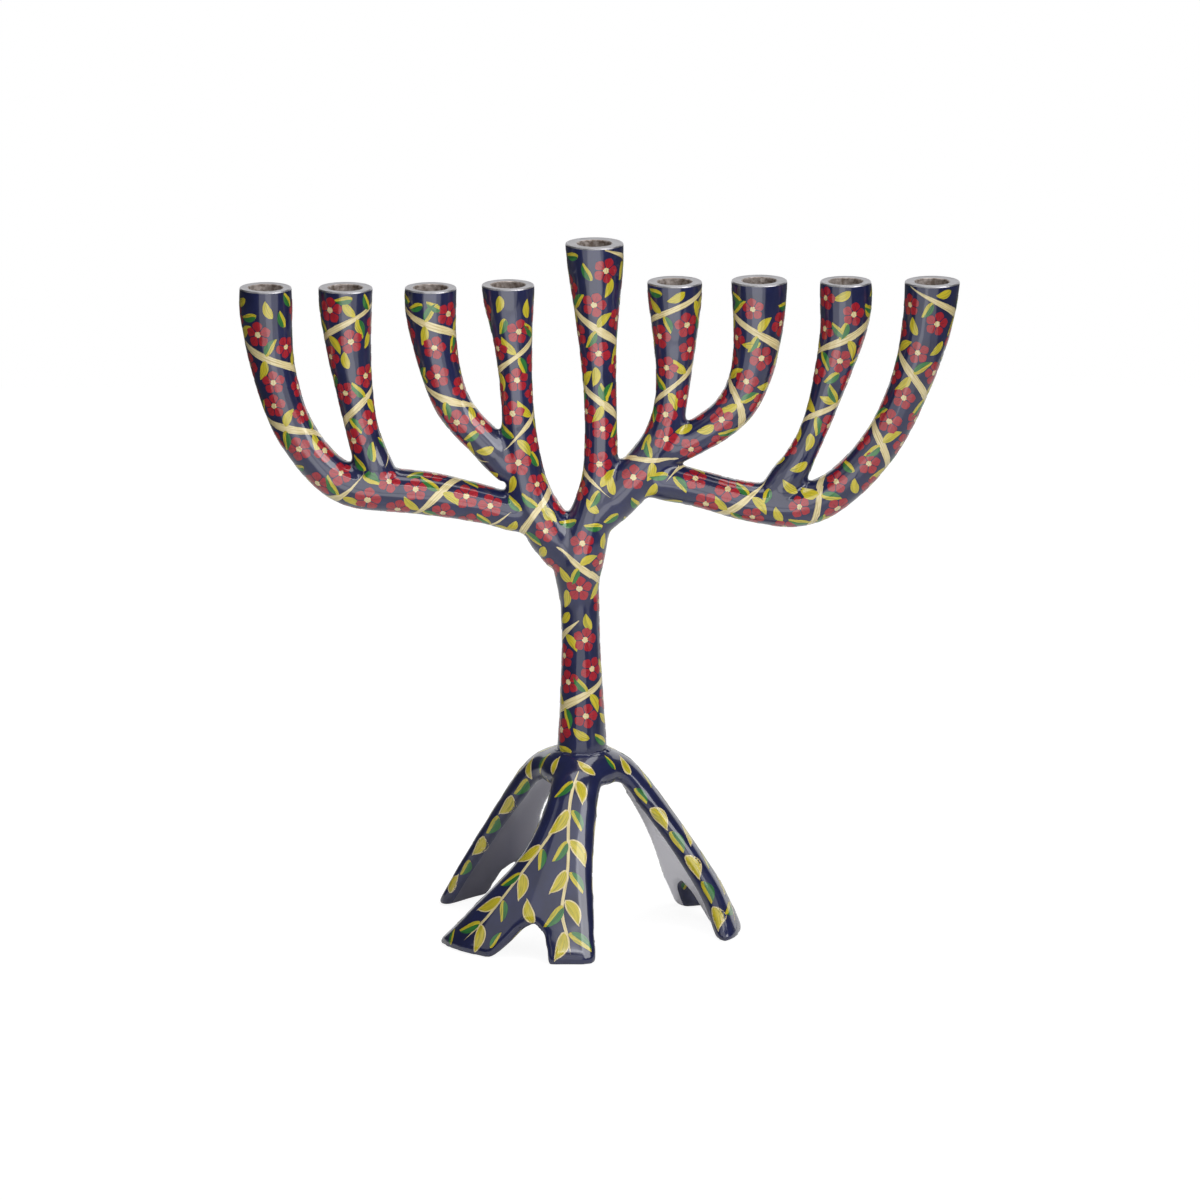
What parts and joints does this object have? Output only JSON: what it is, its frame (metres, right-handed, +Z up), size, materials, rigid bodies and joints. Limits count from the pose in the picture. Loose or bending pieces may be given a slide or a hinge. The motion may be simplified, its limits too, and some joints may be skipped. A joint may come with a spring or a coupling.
{
  "type": "candelabrum",
  "caption": "Tree-shaped table candelabrum: cast branches with drilled candle sockets rise from a trunk on arched, forked roots.",
  "frame": {"origin": "on the table, under the middle of the object's outline", "axes": "+X along the row of candle sockets, +Y towards the back, +Z up"},
  "size_m": [0.2546, 0.119, 0.2481],
  "materials": {
    "navy_enamel": "gloss",
    "bare_aluminium": "satin",
    "zinc_steel": "satin",
    "red_paint": "gloss",
    "cream_paint": "gloss",
    "yellow_paint": "gloss",
    "green_paint": "gloss"
  },
  "bodies": {
    "root": {"trunk": "navy_enamel", "branch_1_outer_left": "navy_enamel", "branch_2_left": "navy_enamel", "branch_3_left": "navy_enamel", "branch_4_inner_left": "navy_enamel", "branch_5_centre": "navy_enamel", "branch_6_inner_right": "navy_enamel", "branch_7_right": "navy_enamel", "branch_8_right": "navy_enamel", "branch_9_outer_right": "navy_enamel", "root_front": "navy_enamel", "root_right": "navy_enamel", "root_left": "navy_enamel", "root_hub": "navy_enamel", "trunk_screw": "zinc_steel", "washer": "zinc_steel"}
  },
  "joints": []
}
